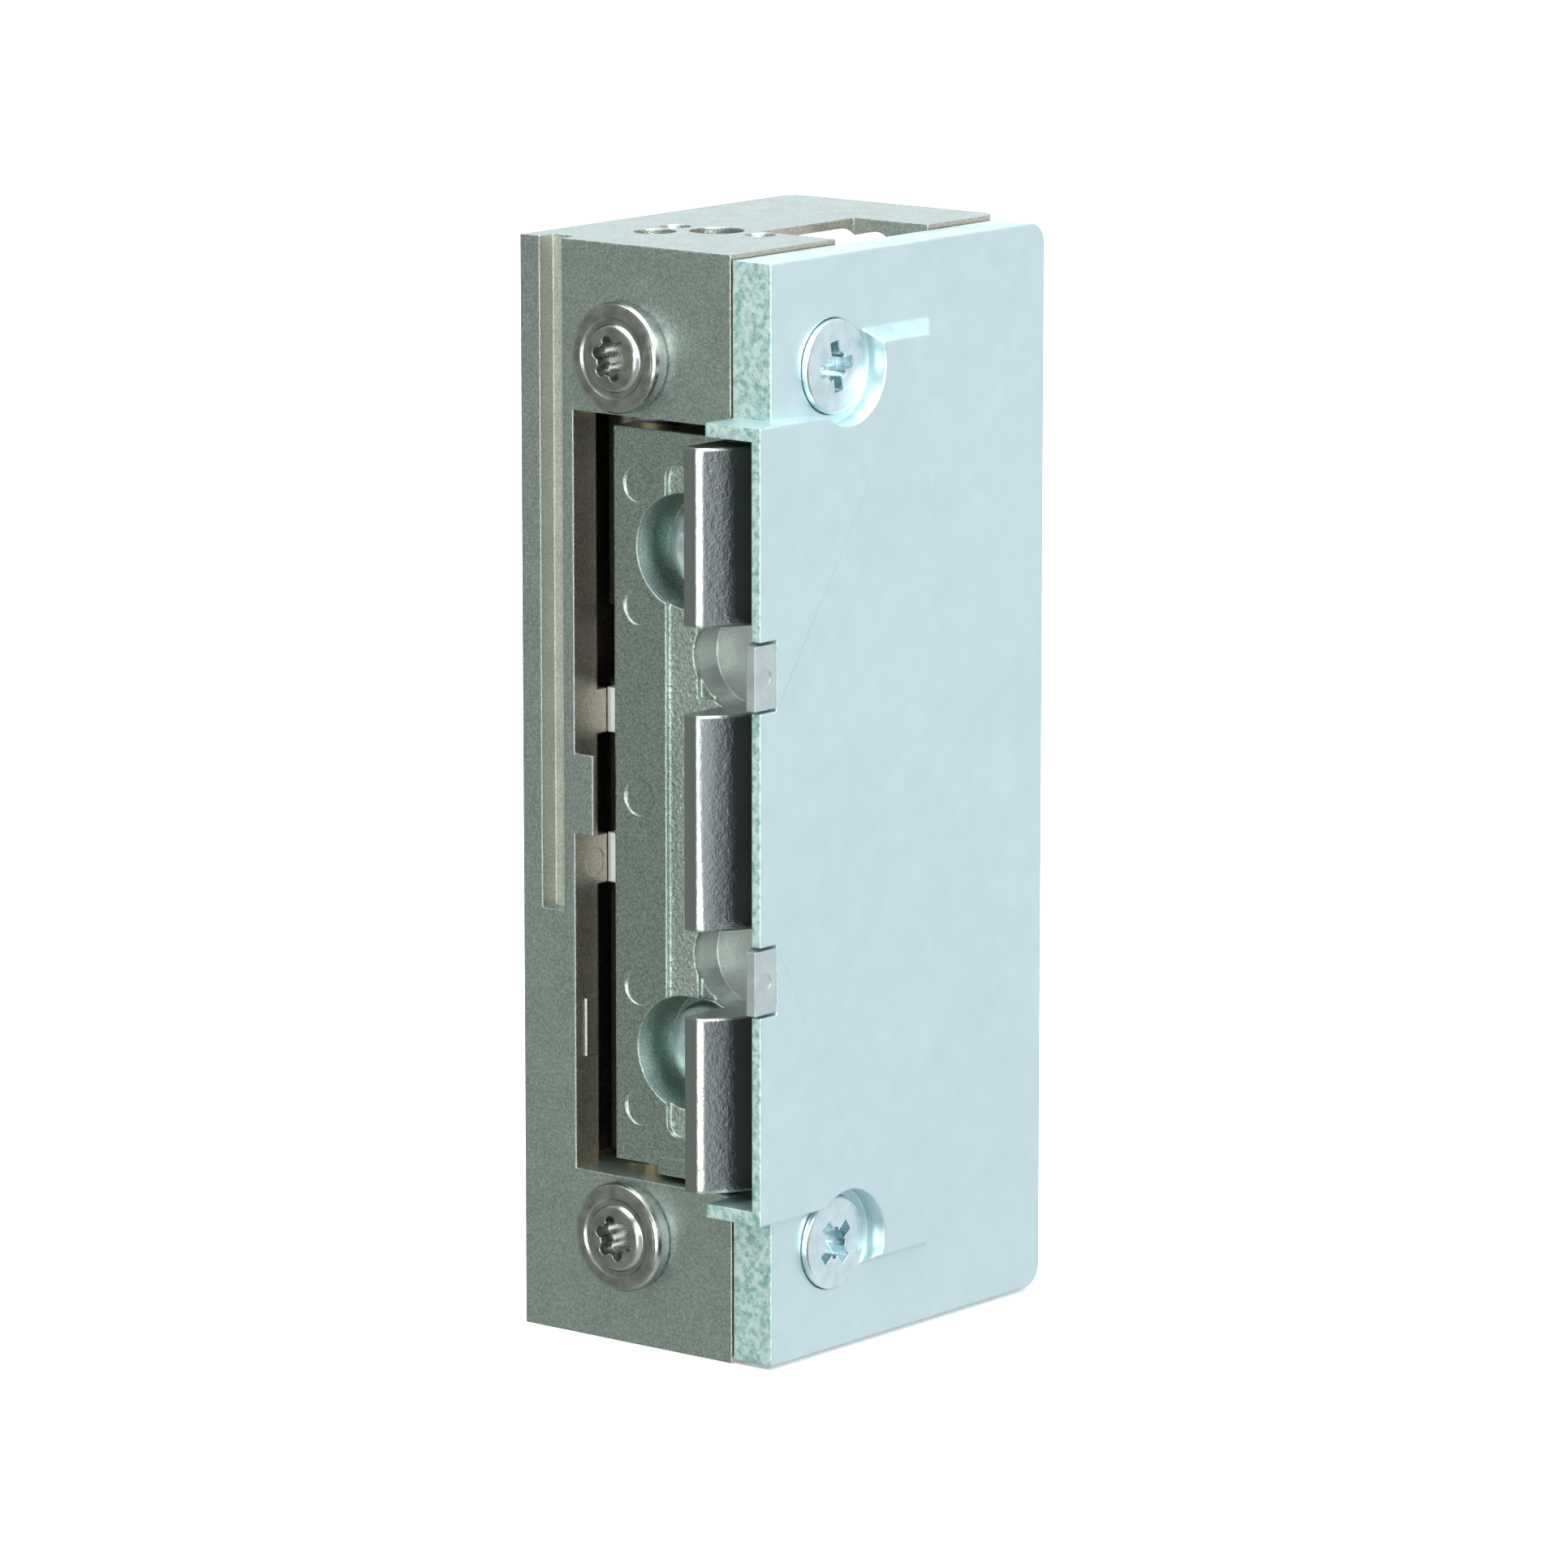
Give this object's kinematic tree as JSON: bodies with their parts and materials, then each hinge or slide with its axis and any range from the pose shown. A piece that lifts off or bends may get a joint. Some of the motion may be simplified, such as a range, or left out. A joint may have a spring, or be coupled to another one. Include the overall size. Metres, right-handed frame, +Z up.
{
  "type": "electric door strike",
  "caption": "Narrow electric door strike: die-cast case, thick cover plate, spring-returned swinging keeper with an adjustable fingered insert, and a coil-driven locking lever.",
  "frame": {"origin": "centre of the strike's base rectangle, on the surface it stands on", "axes": "+Z up along the height, -Y is the front where the latch enters, +X is the cover plate's side"},
  "size_m": [0.0204, 0.0292, 0.066],
  "materials": {
    "case_nickel": "nickel-plated die casting, fine satin grain",
    "cover_zinc": "zinc-plated steel plate, matt with a soft mottle",
    "comb_grey": "smooth pale grey die casting",
    "keeper_nickel": "nickel-plated die casting, darker, slight orange peel",
    "screw_nickel": "nickel-plated, turned",
    "screw_zinc": "bright zinc plating",
    "pin_steel": "ground steel",
    "lever_steel": "sintered steel",
    "bush_brass": "turned brass",
    "spring_steel": "drawn wire",
    "magnet_iron": "soft iron, dull",
    "bobbin_plastic": "white moulded plastic",
    "copper_winding": "enamelled copper wire",
    "coil_tape": "yellow insulating tape",
    "terminal_plastic": "pale grey moulded plastic",
    "lead_red": "red insulation",
    "lead_black": "black insulation",
    "diode_black": "black epoxy"
  },
  "bodies": {
    "case": {"housing": "case_nickel", "cover_plate": "cover_zinc", "guide_comb": "comb_grey", "faceplate_screw_upper": "screw_nickel", "faceplate_screw_lower": "screw_nickel", "cover_screw_upper": "screw_zinc", "cover_screw_lower": "screw_zinc", "keeper_pivot_pin": "pin_steel", "keeper_return_spring": "spring_steel", "lever_pin": "pin_steel", "lever_spring": "spring_steel", "armature_spring": "spring_steel", "spring_anchor_pin": "pin_steel", "coil_bobbin": "bobbin_plastic", "coil_winding": "copper_winding", "coil_tape": "coil_tape", "coil_core": "magnet_iron", "coil_yoke": "magnet_iron", "terminal_block": "terminal_plastic", "terminal_contact_left": "bush_brass", "terminal_contact_right": "bush_brass", "terminal_screw_left": "screw_zinc", "terminal_screw_right": "screw_zinc", "coil_lead_left": "lead_red", "coil_lead_right": "lead_black", "suppressor_diode": "diode_black"},
    "carrier": {"keeper_carrier": "keeper_nickel", "carrier_bush_upper": "bush_brass", "carrier_bush_lower": "bush_brass", "insert_screw_upper": "screw_zinc", "insert_screw_lower": "screw_zinc"},
    "insert": {"keeper_insert": "keeper_nickel"},
    "lever": {"locking_lever": "lever_steel"},
    "armature": {"armature": "magnet_iron", "anti_stick_disc": "bush_brass"}
  },
  "joints": [
    {"name": "keeper_swing", "type": "hinge", "parent": "case", "child": "carrier", "pos_m": [-0.0048, -0.0055, 0.033], "axis": [0, 0, 1], "range_deg": [0, 35], "stiffness_Nm_per_rad": 0.03, "deforming": ["keeper_return_spring"]},
    {"name": "insert_adjust", "type": "slide", "parent": "carrier", "child": "insert", "axis": [-1, 0, 0], "range_m": [0, 0.0012]},
    {"name": "lever_swing", "type": "hinge", "parent": "case", "child": "lever", "pos_m": [-0.0066, 0.0031, 0.0323], "axis": [0, 0, 1], "range_deg": [0, 14.4], "deforming": ["lever_spring"]},
    {"name": "armature_tilt", "type": "hinge", "parent": "case", "child": "armature", "pos_m": [-0.0022, 0.0115, 0.0367], "axis": [-1, 0, 0], "range_deg": [0, 4.8], "stiffness_Nm_per_rad": 0.02, "deforming": ["armature_spring"]}
  ],
  "couplings": [
    {"joint": "lever_swing", "follows": "keeper_swing", "ratio": 0.41}
  ]
}
